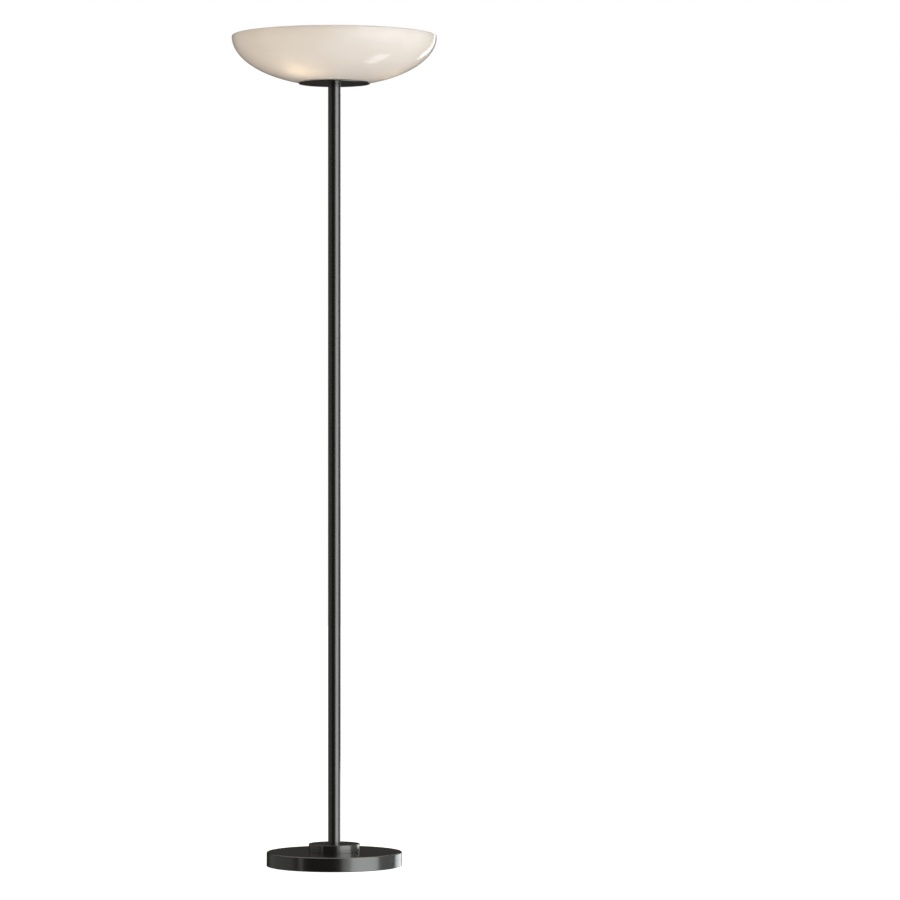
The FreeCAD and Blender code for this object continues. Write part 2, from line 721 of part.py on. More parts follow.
def holder_body():
    """Moulded lampholder: a domed back, a fluted barrel and a wider mouth."""
    bore = LINER_OUTER + THREAD_GAP
    shoulder = HOLDER_MOUTH - HOLDER_COLLAR
    dome = HOLDER_BARREL - HOLDER_BACK_RADIUS
    barrel = turned(
        [
            (NIPPLE_RADIUS + THREAD_GAP, HOLDER_START),
            (HOLDER_BACK_RADIUS, HOLDER_START, SOFT),
            (HOLDER_BARREL, HOLDER_START + dome, dome / 2),
            (HOLDER_BARREL, shoulder),
            (HOLDER_RADIUS, shoulder, FINE),
            (HOLDER_RADIUS, HOLDER_MOUTH, SOFT),
            (bore, HOLDER_MOUTH, FINE),
            (bore, INNER_FLOOR),
            (CHAMBER_RADIUS, INNER_FLOOR),
            (CHAMBER_RADIUS, CHAMBER_START),
            (NIPPLE_RADIUS + THREAD_GAP, CHAMBER_START),
        ]
    )
    flute = pin(HOLDER_FLUTE_RADIUS, HOLDER_START + 1.5 * dome, shoulder)
    flute = moved(flute, x=HOLDER_BARREL + HOLDER_FLUTE_RADIUS / 2)
    return barrel.cut(around(flute, HOLDER_FLUTES))


def holder_liner():
    """Brass screw shell, its thread as closed rings that leave the lamp's cap room to slide."""
    high = INNER_FLOOR + THREAD_PITCH * LINER_TURNS
    points = [(LINER_OUTER, INNER_FLOOR), (LINER_ROOT, INNER_FLOOR)]
    points += thread_rings(LINER_ROOT, LINER_CREST, INNER_FLOOR, LINER_TURNS)
    points += [(LINER_ROOT, high), (LINER_OUTER, high)]
    return turned(points)


def holder_contact():
    """Sprung brass tongue that meets the lamp's centre contact."""
    side = -CONTACT_WIDTH / 2
    far = CONTACT_REACH + side
    tongue_low = INNER_FLOOR + CONTACT_HEIGHT - CONTACT_STRIP
    tongue = block((CONTACT_WIDTH, CONTACT_REACH, CONTACT_STRIP), (side, side, tongue_low))
    riser = block((CONTACT_WIDTH, CONTACT_STRIP, CONTACT_HEIGHT), (side, far, INNER_FLOOR))
    foot = block((CONTACT_WIDTH, CONTACT_WIDTH, CONTACT_STRIP), (side, far, INNER_FLOOR))
    return tongue.fuse([riser, foot]).removeSplitter()


# ---- Lamps -----------------------------------------------------------------------------------------------
def lamp_contact():
    """Glass insulator and solder button at the foot of the cap, both round about the lamp's axis."""
    button_foot, button_top, button_height = BUTTON
    low = LAMP_FOOT + button_height
    insulator = turned(
        [
            (0, low),
            (INSULATOR_FOOT, low),
            (INSULATOR_RADIUS, CAP_FOOT - FINE, FINE),
            (INSULATOR_RADIUS, CAP_FOOT + FINE),
            (0, CAP_FOOT + FINE),
        ]
    )
    button = turned([(0, LAMP_FOOT), (button_foot, LAMP_FOOT, FINE), (button_top, low), (0, low)])
    return Part.makeCompound([insulator, button])


def lamp_cap():
    """Nickel-plated screw cap, hollow, its thread as closed rings."""
    inner = CAP_ROOT - CAP_WALL
    crimp = CAP_ROOT + FINE
    neck_low = CAP_FOOT - FINE
    neck_high = CAP_FOOT + CAP_NECK_HEIGHT
    points = [(CAP_NECK, neck_low), (CAP_ROOT - FINE, neck_low), (CAP_ROOT, CAP_FOOT)]
    points += thread_rings(CAP_ROOT, CAP_CREST, CAP_FOOT, CAP_TURNS)
    points += [(CAP_ROOT, CAP_SKIRT), (crimp, CAP_SKIRT + FINE), (crimp, HOUSING_FOOT)]
    points += [(inner, HOUSING_FOOT), (inner, neck_high), (CAP_NECK, neck_high)]
    return turned(points)


def lamp_housing():
    """White heat-sink body that flares from the cap to the globe, with an inward rim."""
    flare = (HOUSING_FOOT_RADIUS + 1.2, HOUSING_FOOT + 6.0, 8.0)
    shoulder = (HOUSING_RADIUS - 1.0, HOUSING_TOP - 14.0, 14.0)
    under_rim = HOUSING_TOP - HOUSING_WALL
    return turned(
        [
            (HOUSING_FOOT_RADIUS - HOUSING_WALL, HOUSING_FOOT),
            (HOUSING_FOOT_RADIUS, HOUSING_FOOT, FINE),
            flare,
            shoulder,
            (HOUSING_RADIUS, HOUSING_TOP, FINE),
            (HOUSING_RIM_HOLE, HOUSING_TOP),
            (HOUSING_RIM_HOLE, under_rim),
            (HOUSING_RADIUS - HOUSING_WALL, under_rim),
            (shoulder[0] - HOUSING_WALL, shoulder[1] + FINE, shoulder[2] - HOUSING_WALL),
            (flare[0] - HOUSING_WALL, flare[1] + FINE, flare[2] - HOUSING_WALL),
        ]
    )


def lamp_globe():
    """Opal dome: a sphere that stands on the housing's rim."""
    centre = V(0, 0, GLOBE_CENTRE)
    shell = Part.makeSphere(GLOBE_RADIUS, centre).cut(Part.makeSphere(GLOBE_RADIUS - GLOBE_WALL, centre))
    return shell.cut(pin(2 * GLOBE_RADIUS, HOUSING_TOP - GLOBE_RADIUS, HOUSING_TOP))


def lamp_board():
    """Round light-source board on the housing's rim, inside the globe."""
    side, thick = CHIP
    top = HOUSING_TOP + BOARD_THICK
    board = pin(BOARD_RADIUS, HOUSING_TOP, top)
    chip = block((side, side, thick), (CHIP_CIRCLE - side / 2, -side / 2, top))
    return board.fuse(around(chip, CHIP_COUNT)).removeSplitter()


# ---- Every node, by name ---------------------------------------------------------------------------------
def single_nodes():
    """The pieces that the lamp has one of, and groups of like pieces."""
    return {
        "foot_pad": foot_pad(),
        "closing_plate": closing_plate(),
        "closing_plate_screws": closing_plate_screws(),
        "base_weight": base_weight(),
        "base_cover": base_cover(),
        "cord_gland": cord_gland(),
        "base_collar": base_collar(),
        "base_nipple": nipple(NIPPLE_FOOT, POLE_FOOT + PLUG_ENGAGED),
        "base_washer": base_washer(),
        "spring_washers": spring_washers(),
        "lock_nuts": lock_nuts(),
        "pole_couplers": pole_couplers(),
        "pole_plugs": pole_plugs(),
        "inner_lead": inner_lead(),
        "shade_plate": shade_plate(),
        "lower_gasket": shade_gasket(PLATE_TOP),
        "glass_bowl": glass_bowl(),
        "upper_gasket": shade_gasket(SEAT + GLASS),
        "clamp_ring": clamp_ring(),
        "shade_studs": shade_studs(),
        "thumb_nuts": thumb_nuts(),
        "head_nipple": nipple(PLATE_BOTTOM - PLUG_ENGAGED, NIPPLE_HEAD),
        "cluster_body": cluster_body(),
        "cluster_lid": cluster_lid(),
        "cluster_finial": cluster_finial(),
        "splice_cap": splice_cap(),
        "holder_leads": holder_leads(),
        "holder_nipples": holder_nipples(),
    }


def repeated_nodes():
    """The pole's sections, and the pieces of each lampholder and lamp."""
    made = {f"pole_{name}": pole_section(i) for i, name in enumerate(("lower", "middle", "upper"))}
    on_each_arm = {
        "holder_body": holder_body(),
        "holder_liner": holder_liner(),
        "holder_contact": holder_contact(),
        "lamp_contact": lamp_contact(),
        "lamp_cap": lamp_cap(),
        "lamp_housing": lamp_housing(),
        "lamp_globe": lamp_globe(),
        "lamp_board": lamp_board(),
    }
    for name, shape in on_each_arm.items():
        for i in range(ARM_COUNT):
            made[f"{name}_{i + 1}"] = on_arm(shape, i)
    return made


os.makedirs("parts", exist_ok=True)
for name, shape in {**single_nodes(), **repeated_nodes()}.items():
    validity = "valid" if shape.isValid() else "NOT VALID"
    print(f"{name:22s} {validity:9s} solids {len(shape.Solids)}  volume {shape.Volume / 1000:9.2f} cm3")
    shape.exportStep(f"parts/{name}.step")
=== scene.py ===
import json
import math

import bmesh
import bpy
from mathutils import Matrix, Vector


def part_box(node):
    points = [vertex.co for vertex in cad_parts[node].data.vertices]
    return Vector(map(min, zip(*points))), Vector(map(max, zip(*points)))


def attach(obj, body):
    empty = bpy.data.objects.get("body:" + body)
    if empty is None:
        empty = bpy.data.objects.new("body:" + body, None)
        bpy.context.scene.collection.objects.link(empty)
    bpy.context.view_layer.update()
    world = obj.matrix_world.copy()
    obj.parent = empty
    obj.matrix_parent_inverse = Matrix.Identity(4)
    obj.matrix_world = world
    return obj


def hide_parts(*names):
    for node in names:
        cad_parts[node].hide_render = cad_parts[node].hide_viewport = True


bl_info = {
    "name": "Torchiere floor lamp",
    "version": (1, 0, 0),
    "blender": (4, 5, 0),
    "location": "3D View > Sidebar > Torchiere",
    "description": "Builds a torchiere floor lamp with an opal glass bowl round its packed parts",
    "category": "Object",
}

# Lengths in outlines are in millimetres, as a turner reads them, and heights are above the floor.
# Outlines on an arm are measured along it, from the point where the three arms' axes meet.
MM = 0.001

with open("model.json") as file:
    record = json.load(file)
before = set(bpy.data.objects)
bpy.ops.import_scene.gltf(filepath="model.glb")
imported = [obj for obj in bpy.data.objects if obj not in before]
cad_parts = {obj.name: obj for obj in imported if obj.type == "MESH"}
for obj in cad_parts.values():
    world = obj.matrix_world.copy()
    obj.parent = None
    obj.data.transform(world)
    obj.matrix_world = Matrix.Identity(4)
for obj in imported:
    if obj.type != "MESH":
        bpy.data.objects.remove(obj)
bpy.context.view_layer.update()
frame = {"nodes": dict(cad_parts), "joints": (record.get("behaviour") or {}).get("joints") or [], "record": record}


def reach(node):
    """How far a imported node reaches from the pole's axis to the right, in millimetres."""
    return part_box(node)[1].x / MM


def foot(node):
    """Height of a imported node's lowest point, in millimetres."""
    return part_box(node)[0].z / MM


def top(node):
    """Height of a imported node's highest point, in millimetres."""
    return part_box(node)[1].z / MM


TURNING_JOINTS = [joint for joint in frame["joints"] if joint["type"] == "hinge"]
ARMS = [Vector(joint["axis"]) for joint in TURNING_JOINTS]
ARMS_MEET = Vector(TURNING_JOINTS[0]["pos_m"])

BOWL_STEPS = 192
BASE_STEPS = 192
POLE_STEPS = 96
SMALL_STEPS = 96
ROD_STEPS = 48
FLUTED_STEPS = 192
FLUTE_STEPS = 8  # steps round the piece from one flute to the next
FLUTE_SHAPE = ((-1, 0.5), (0, 1.0), (1, 0.5))  # steps from a flute's middle, and share of its depth there
ROUND_STEPS = 4  # steps in a rounded corner
FINE = 0.4  # broken edges
SOFT = 0.8  # edges that a hand meets
CAST = 3.0  # edges of castings
JOIN = 1e-6  # metres: nearer points than this are one
SEAM = 0.3  # edges of the tubes, which show the pole's joints as hairlines
THREAD_PITCH = 3.63


# ---- What a user would change --------------------------------------------------------------------------
def linear(code):
    """An sRGB hex colour, turned to linear red, green and blue."""
    parts = [int(code[i : i + 2], 16) / 255 for i in (1, 3, 5)]
    return [c / 12.92 if c <= 0.04045 else ((c + 0.055) / 1.055) ** 2.4 for c in parts]


def length(name, description, millimetres):
    return bpy.props.FloatProperty(
        name=name, description=description, default=millimetres * MM, min=0, unit="LENGTH", precision=4
    )


def colour(name, description, code):
    return bpy.props.FloatVectorProperty(
        name=name, description=description, default=linear(code), size=3, min=0, max=1, subtype="COLOR"
    )


class TorchiereSizes(bpy.types.PropertyGroup):
    """The lamp's sizes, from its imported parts."""

    bowl_radius: length("Bowl radius", "Outside of the glass at its rim", reach("glass_bowl"))
    bowl_wall: length("Bowl wall", "Thickness of the glass", 5.0)
    bowl_curve: length("Bowl curve", "Half axis of the ellipse that the outside follows", 108.5)
    bowl_hole: length("Bowl hole", "Hole in the bowl's seat, which passes over the lampholders", 65.0)
    plate_radius: length("Plate radius", "Disc under the bowl", reach("shade_plate"))
    pole_radius: length("Pole radius", "Outside of the tubes", reach("pole_lower"))
    pole_wall: length("Pole wall", "Wall of the tubes", 1.5)
    collar_radius: length("Collar radius", "Step between the base and the pole", reach("base_collar"))
    base_radius: length("Base radius", "Outside of the base's cover", reach("base_cover"))
    base_edge: length("Base edge", "Rounding of the cover's upper edge", 2.2)
    sheet: length("Sheet", "Pressed steel of the cover", 1.5)


class TorchiereFinish(bpy.types.PropertyGroup):
    """The lamp's colours and finish."""

    metal: bpy.props.EnumProperty(
        name="Metal",
        description="Finish of the base, the pole and the disc under the bowl",
        items=[
            ("BLACK_NICKEL", "Black nickel", "Dark satin plating"),
            ("SATIN_NICKEL", "Satin nickel", "Pale satin plating"),
        ],
        default="BLACK_NICKEL",
    )
    black_nickel: colour("Black nickel", "Dark satin plating", "#7c7a77")
    satin_nickel: colour("Satin nickel", "Pale satin plating", "#c9c6c0")
    glass: colour("Glass", "Opal white glass", "#f3f1ef")
    glass_cloud: colour("Glass cloud", "The warmer patches in the opal glass", "#efebe6")
    lamp_light: colour("Lamp light", "Light of the lamps in the bowl", "#ffeac6")
    lamp_strength: bpy.props.FloatProperty(
        name="Lamp strength", description="How strongly the lamps' globes glow", default=5.8, min=0
    )


# ---- Modelling -----------------------------------------------------------------------------------------
def clear_selection():
    if bpy.context.mode != "OBJECT":
        bpy.ops.object.mode_set(mode="OBJECT")
    bpy.ops.object.select_all(action="DESELECT")


def work_on(*pieces):
    """Selects these pieces and no other, the first of them active."""
    clear_selection()
    for piece in pieces:
        piece.select_set(True)
    bpy.context.view_layer.objects.active = pieces[0]


def pick(piece, test):
    """Selects the vertices whose places pass the test, in edit mode."""
    mesh = bmesh.from_edit_mesh(piece.data)
    mesh.select_mode = {"VERT"}
    for vertex in mesh.verts:
        vertex.select = bool(test(vertex.co))
    mesh.select_flush_mode()
    bmesh.update_edit_mesh(piece.data)


def pick_points(piece, points):
    places = [Vector((point[0] * MM, 0, point[1] * MM)) for point in points]
    pick(piece, lambda co: any((co - place).length < JOIN for place in places))


def turned(name, outline, steps, closed=True):
    """A turned piece: its half outline is extruded from a vertex, its corners are rounded, and it is spun.

    The outline's points are (radius, height) or (radius, height, rounding of the corner).
    """
    clear_selection()
    bpy.ops.mesh.primitive_plane_add(size=MM, location=(0, 0, 0))
    piece = bpy.context.object
    piece.name = piece.data.name = name
    bpy.ops.object.mode_set(mode="EDIT")
    bpy.ops.mesh.merge(type="CENTER")
    bpy.ops.transform.translate(value=(outline[0][0] * MM, 0, outline[0][1] * MM))
    for here, there in zip(outline, outline[1:]):
        step = ((there[0] - here[0]) * MM, 0, (there[1] - here[1]) * MM)
        bpy.ops.mesh.extrude_region_move(TRANSFORM_OT_translate={"value": step})
    if closed:
        pick_points(piece, (outline[0], outline[-1]))
        bpy.ops.mesh.edge_face_add()
    for rounding in sorted({point[2] for point in outline if len(point) > 2}):
        pick_points(piece, [point for point in outline if len(point) > 2 and point[2] == rounding])
        bpy.ops.mesh.bevel(offset=rounding * MM, segments=ROUND_STEPS, affect="VERTICES")
    bpy.ops.mesh.select_all(action="SELECT")
    bpy.ops.mesh.spin(steps=steps, angle=2 * math.pi, center=(0, 0, 0), axis=(0, 0, 1))
    tidy_faces()
    return piece


def rod(name, radius, start, end):
    """A plain rod along Z, to cut or join with."""
    return turned(name, [(0, start), (radius, start), (radius, end), (0, end)], ROD_STEPS, False)


def tidy_faces():
    """Merges doubles and turns the faces outward, and leaves edit mode."""
    bpy.ops.mesh.select_all(action="SELECT")
    bpy.ops.mesh.remove_doubles(threshold=JOIN)
    bpy.ops.mesh.normals_make_consistent(inside=False)
    bpy.ops.object.mode_set(mode="OBJECT")


def fluted(piece, radius, low, high, depth):
    """Presses flutes into the side of a piece that was turned in FLUTED_STEPS, between two heights."""
    for offset, share in FLUTE_SHAPE:

        def in_flute(co):
            step = round(math.atan2(co.y, co.x) / (2 * math.pi) * FLUTED_STEPS)
            on_side = abs(math.hypot(co.x, co.y) - radius * MM) < JOIN
            between = low * MM - JOIN < co.z < high * MM + JOIN
            return on_side and between and (step - offset) % FLUTE_STEPS == 0

        work_on(piece)
        bpy.ops.object.mode_set(mode="EDIT")
        pick(piece, in_flute)
        scale = 1 - depth * share / radius
        bpy.ops.transform.resize(value=(scale, scale, 1), center_override=(0, 0, 0))
        bpy.ops.object.mode_set(mode="OBJECT")


def settle(piece):
    """Puts the piece's place and turn in its mesh."""
    work_on(piece)
    bpy.ops.object.transform_apply(location=True, rotation=True, scale=True)


def on_arm(piece, arm):
    """Stands a piece that was turned about Z along one of the lampholders' arms."""
    piece.rotation_euler = (0, arm.angle(Vector((0, 0, 1))), math.atan2(arm.y, arm.x))
    piece.location = ARMS_MEET
    settle(piece)


def to_the_back(piece, height):
    """Lays a piece that was turned about Z along +Y, at a height over the floor."""
    piece.rotation_euler = (-math.pi / 2, 0, 0)
    piece.location = (0, 0, height * MM)
    settle(piece)


def copy_of(piece, name):
    work_on(piece)
    bpy.ops.object.duplicate(linked=False)
    made = bpy.context.object
    made.name = made.data.name = name
    return made


def combine(piece, tool, operation):
    """Cuts the tool out of the piece, or joins it on, and removes the tool."""
    boolean = piece.modifiers.new(operation.title(), "BOOLEAN")
    boolean.operation = operation
    boolean.solver = "EXACT"
    boolean.object = tool
    work_on(piece)
    bpy.ops.object.modifier_apply(modifier=boolean.name)
    bpy.data.objects.remove(tool)


def smoothed(piece, degrees=35):
    """Smooth shading up to an angle, with the broad faces kept flat up to their rounded edges."""
    work_on(piece)
    bpy.ops.object.shade_smooth_by_angle(angle=math.radians(degrees))
    even = piece.modifiers.new("Even", "WEIGHTED_NORMAL")
    even.keep_sharp = True
    bpy.ops.object.modifier_apply(modifier=even.name)


def hand_over(piece, finish, body, slot, *nodes):
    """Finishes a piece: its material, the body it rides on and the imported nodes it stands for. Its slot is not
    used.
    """
    smoothed(piece)
    piece.data.materials.clear()
    piece.data.materials.append(finish)
    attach(piece, body)
    if nodes:
        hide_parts(*nodes)


def arc(centre, radii, start, end, steps):
    """Points on an arc of an ellipse, from one angle to another, in degrees from the horizontal."""
    turns = [math.radians(start + (end - start) * i / steps) for i in range(steps + 1)]
    return [(centre[0] + radii[0] * math.cos(t), centre[1] + radii[1] * math.sin(t)) for t in turns]


# ---- Finishes ------------------------------------------------------------------------------------------
MIX_ENDS = (6, 7)  # the two colours that a Mix node goes between
MIXED = 2  # the colour that comes out of it
DRIFT_SPREAD = (0.35, 0.65)  # of the noise, over which one colour gives way to the other
GRAIN_SPREAD = (0.3, 0.7)  # of the noise, from the smoothest to the roughest spots


def add_node(tree, kind, values=None, links=None, **settings):
    """Adds a node: settings on it, values on its inputs, and links to them from (node, output)."""
    made = tree.nodes.new(kind)
    for name, value in settings.items():
        setattr(made, name, value)
    for name, value in (values or {}).items():
        made.inputs[name].default_value = value
    for name, (source, output) in (links or {}).items():
        tree.links.new(source.outputs[output], made.inputs[name])
    return made


def new_finish(name, **sockets):
    """A material with one shader, whose even sockets are set, and a place to draw on."""
    finish = bpy.data.materials.get(name) or bpy.data.materials.new(name)
    finish.use_nodes = True
    tree = finish.node_tree
    tree.nodes.clear()
    values = {key.replace("_", " "): value for key, value in sockets.items()}
    shader = add_node(tree, "ShaderNodeBsdfPrincipled", values)
    add_node(tree, "ShaderNodeOutputMaterial", links={"Surface": (shader, "BSDF")})
    place = add_node(tree, "ShaderNodeTexCoord")
    return finish, tree, shader, (place, "Object")


def per_metre(millimetres):
    """Scale of a pattern whose features are this far apart."""
    return 1 / (millimetres * MM)


def drift(tree, shader, place, colours, patch):
    """A slow drift between two near colours, in patches of a size."""
    values = {"Scale": per_metre(patch), "Detail": 2.0, "Roughness": 0.5}
    cloud = add_node(tree, "ShaderNodeTexNoise", values, {"Vector": place})
    middle = {"From Min": DRIFT_SPREAD[0], "From Max": DRIFT_SPREAD[1]}
    spread = add_node(tree, "ShaderNodeMapRange", middle, {"Value": (cloud, "Fac")})
    pair = dict(zip(MIX_ENDS, ((*colour, 1) for colour in colours)))
    mixed = add_node(tree, "ShaderNodeMix", pair, {0: (spread, "Result")}, data_type="RGBA")
    tree.links.new(mixed.outputs[MIXED], shader.inputs["Base Color"])


def grain(tree, shader, place, size, roughness, relief, detail=3.0):
    """A grain of a size in millimetres, which shows in the roughness and stands out by its relief."""
    values = {"Scale": per_metre(size), "Detail": detail}
    speckle = add_node(tree, "ShaderNodeTexNoise", values, {"Vector": place})
    limits = {"From Min": GRAIN_SPREAD[0], "From Max": GRAIN_SPREAD[1]}
    limits |= {"To Min": roughness[0], "To Max": roughness[1]}
    rough = add_node(tree, "ShaderNodeMapRange", limits, {"Value": (speckle, "Fac")})
    height = {"Strength": 1.0, "Distance": relief * MM}
    raised = add_node(tree, "ShaderNodeBump", height, {"Height": (speckle, "Fac")})
    tree.links.new(rough.outputs["Result"], shader.inputs["Roughness"])
    tree.links.new(raised.outputs["Normal"], shader.inputs["Normal"])


def round_the_axis(tree, place):
    """A place read as distance from the pole's axis and height, so that a pattern runs round the piece."""
    parts = add_node(tree, "ShaderNodeSeparateXYZ", links={"Vector": place})
    flat = add_node(tree, "ShaderNodeCombineXYZ", links={"X": (parts, "X"), "Y": (parts, "Y")})
    away = add_node(tree, "ShaderNodeVectorMath", links={0: (flat, "Vector")}, operation="LENGTH")
    ring = add_node(tree, "ShaderNodeCombineXYZ", links={"X": (away, "Value"), "Z": (parts, "Z")})
    return ring, "Vector"


PLATING_SHADE = 0.93  # how much darker the plating is in its darker patches


def satin_plated_steel():
    """Steel, turned or drawn, satin finished round its axis and plated.

    The fine turning lines stretch each highlight along the pole and across the base.
    """
    finish = bpy.context.scene.torchiere_finish
    base = Vector(finish.black_nickel if finish.metal == "BLACK_NICKEL" else finish.satin_nickel)
    made, tree, shader, place = new_finish("satin_plated_steel", Metallic=1.0, Anisotropic=0.3)
    around = add_node(tree, "ShaderNodeTangent", direction_type="RADIAL", axis="Z")
    tree.links.new(around.outputs["Tangent"], shader.inputs["Tangent"])
    drift(tree, shader, place, (base, base * PLATING_SHADE), patch=160.0)
    # The real lines are about 0.1 mm apart; they are drawn 1.5 mm apart, so that they show.
    grain(tree, shader, round_the_axis(tree, place), size=1.5, roughness=(0.18, 0.23), relief=0.0004)
    return made


def blown_opal_glass():
    """Opal glass, blown and fire polished.

    Its gloss is that of clear glass, over a milky body in which light from the lamps spreads, and its surface
    has the slow waves of blown glass.
    """
    finish = bpy.context.scene.torchiere_finish
    made, tree, shader, place = new_finish(
        "blown_opal_glass",
        IOR=1.5,
        Subsurface_Weight=0.75,
        Subsurface_Radius=(1.0, 0.95, 0.88),
        Subsurface_Scale=0.02,
    )
    drift(tree, shader, place, (finish.glass, finish.glass_cloud), patch=110.0)
    grain(tree, shader, place, size=70.0, roughness=(0.07, 0.11), relief=0.12, detail=1.0)
    return made


def zinc_plated_steel():
    """Steel, zinc plated and clear passivated: greyish, a little blotched, half bright."""
    made, tree, shader, place = new_finish("zinc_plated_steel", Metallic=1.0)
    drift(tree, shader, place, (linear("#c4c6c8"), linear("#b2b4b4")), patch=6.0)
    grain(tree, shader, place, size=0.6, roughness=(0.28, 0.42), relief=0.004)
    return made


def tumbled_die_casting():
    """Aluminium, die cast and tumbled: a soft grey skin with fine pits."""
    made, tree, shader, place = new_finish("tumbled_die_casting", Metallic=1.0)
    drift(tree, shader, place, (linear("#b4b5b6"), linear("#a4a5a6")), patch=9.0)
    grain(tree, shader, place, size=0.8, roughness=(0.38, 0.52), relief=0.015)
    return made


def satin_brass():
    """Brass, rolled or turned, left plain: warm yellow with a light tarnish."""
    made, tree, shader, place = new_finish("satin_brass", Metallic=1.0)
    drift(tree, shader, place, (linear("#d9b66a"), linear("#c39a50")), patch=5.0)
    grain(tree, shader, place, size=0.5, roughness=(0.24, 0.38), relief=0.004)
    return made


def moulded_phenolic():
    """Phenolic, compression moulded in black: hard, with a low sheen and a trace of flow."""
    made, tree, shader, place = new_finish("moulded_phenolic", IOR=1.55)
    drift(tree, shader, place, (linear("#1b1a1a"), linear("#242322")), patch=8.0)
    grain(tree, shader, place, size=0.7, roughness=(0.34, 0.46), relief=0.006)
    return made


def extruded_jacket():
    """PVC, extruded over the lead's cores: soft, pale and satin."""
    made, tree, shader, place = new_finish("extruded_jacket", IOR=1.53)
    drift(tree, shader, place, (linear("#dedad0"), linear("#d3cfc4")), patch=30.0)
    grain(tree, shader, place, size=0.8, roughness=(0.42, 0.55), relief=0.005)
    return made


def moulded_silicone():
    """Silicone rubber, moulded: milky and matt, with a soft depth."""
    made, tree, shader, place = new_finish(
        "moulded_silicone", IOR=1.43, Subsurface_Weight=0.2, Subsurface_Scale=0.002
    )
    drift(tree, shader, place, (linear("#e3e2dd"), linear("#d8d7d1")), patch=12.0)
    grain(tree, shader, place, size=0.6, roughness=(0.5, 0.62), relief=0.006)
    return made


def closed_cell_foam():
    """Closed-cell foam, cut from sheet: black and matt, with open pores on its cut edge."""
    made, tree, shader, place = new_finish("closed_cell_foam", IOR=1.45)
    drift(tree, shader, place, (linear("#222221"), linear("#2c2b2a")), patch=15.0)
    grain(tree, shader, place, size=0.9, roughness=(0.75, 0.9), relief=0.12)
    return made


def grey_cast_iron():
    """Grey iron, sand cast: dark and rough, with a sandy skin."""
    made, tree, shader, place = new_finish("grey_cast_iron", Metallic=0.6)
    drift(tree, shader, place, (linear("#4a4745"), linear("#3c3a38")), patch=25.0)
    grain(tree, shader, place, size=1.4, roughness=(0.6, 0.8), relief=0.15)
    return made


def rolled_nickel_cap():
    """Brass, rolled to a thread and nickel plated: bright, with rubbed crests."""
    made, tree, shader, place = new_finish("rolled_nickel_cap", Metallic=1.0)
    drift(tree, shader, place, (linear("#cfcdc8"), linear("#bdbab4")), patch=5.0)
    grain(tree, shader, place, size=0.5, roughness=(0.16, 0.28), relief=0.004)
    return made


def vitreous_insulator():
    """Black glass, pressed round the foot contact: very smooth and glossy."""
    made, tree, shader, place = new_finish("vitreous_insulator", IOR=1.52)
    drift(tree, shader, place, (linear("#17171a"), linear("#202024")), patch=4.0)
    grain(tree, shader, place, size=1.2, roughness=(0.08, 0.16), relief=0.01)
    return made


def moulded_polycarbonate():
    """Polycarbonate, moulded in white over an aluminium core: satin, very even."""
    made, tree, shader, place = new_finish("moulded_polycarbonate", IOR=1.58)
    drift(tree, shader, place, (linear("#ecebe7"), linear("#e4e3de")), patch=20.0)
    grain(tree, shader, place, size=0.7, roughness=(0.30, 0.40), relief=0.005)
    return made


def frosted_globe():
    """Polycarbonate, moulded and frosted, lit from inside: an even warm glow under a soft sheen."""
    finish = bpy.context.scene.torchiere_finish
    made, tree, shader, place = new_finish(
        "frosted_globe",
        IOR=1.58,
        Emission_Color=(*finish.lamp_light, 1),
        Emission_Strength=finish.lamp_strength,
    )
    drift(tree, shader, place, (linear("#f4f1ea"), linear("#ece8df")), patch=18.0)
    grain(tree, shader, place, size=0.8, roughness=(0.42, 0.52), relief=0.006)
    return made


MAKERS = {
    "dark_finish": satin_plated_steel,
    "opal_glass": blown_opal_glass,
    "zinc_steel": zinc_plated_steel,
    "die_cast": tumbled_die_casting,
    "brass": satin_brass,
    "black_moulding": moulded_phenolic,
    "lead_jacket": extruded_jacket,
    "silicone": moulded_silicone,
    "foam": closed_cell_foam,
    "cast_iron": grey_cast_iron,
    "lamp_metal": rolled_nickel_cap,
    "lamp_insulator": vitreous_insulator,
    "lamp_white": moulded_polycarbonate,
    "lamp_diffuser": frosted_globe,
}


def finish_of(slot):
    """The material for a slot of the record, made when it is first asked for."""
    maker = MAKERS[slot]
    return bpy.data.materials.get(maker.__name__) or maker()


# ---- The stage -----------------------------------------------------------------------------------------
CAMERA_PLACE = (0.258, -9.2, 0.886)
CAMERA_LENS = 165.0
CAMERA_SENSOR = 36.0
CAMERA_RISE = 0.0207
FLOOR_RADIUS = 14.0
FLOOR_GLOW = 0.85  # keeps the floor white to its far edge
DAYLIGHT = (0.9, 0.96, 1.0)
ROOM = ("#3a3836", "#f0eeea")  # the walls and the ceiling that gloss mirrors
ROOM_RISE = (0.3, 0.95)  # sine of the height, from where the walls give way to where the ceiling is full
EVEN_LIGHT = "#e9dacb"
EVEN_STRENGTH = (1.4, 0.25)  # from straight below, off the floor, and from straight above
SOFT_BOXES = {
    # name: (degrees round from the camera to the right, distance, width, foot, top, brightness)
    "soft_box_right": (55.0, 2.6, 2.5, -0.8, 2.6, 1.68),
    "soft_box_edge": (22.0, 2.6, 0.7, -0.8, 2.6, 0.6),
    "low_box_behind_right": (140.0, 1.3, 0.75, -0.5, 0.12, 2.3),
    "strip_behind_right": (153.0, 2.8, 0.4, 0.8, 2.8, 2.0),
    "strip_left": (-56.0, 3.0, 0.25, -0.8, 2.6, 0.5),
    "fill_left": (-104.0, 3.0, 4.2, -0.8, 2.6, 0.16),
    "fill_right": (102.0, 3.2, 1.9, -0.8, 2.6, 0.32),
}


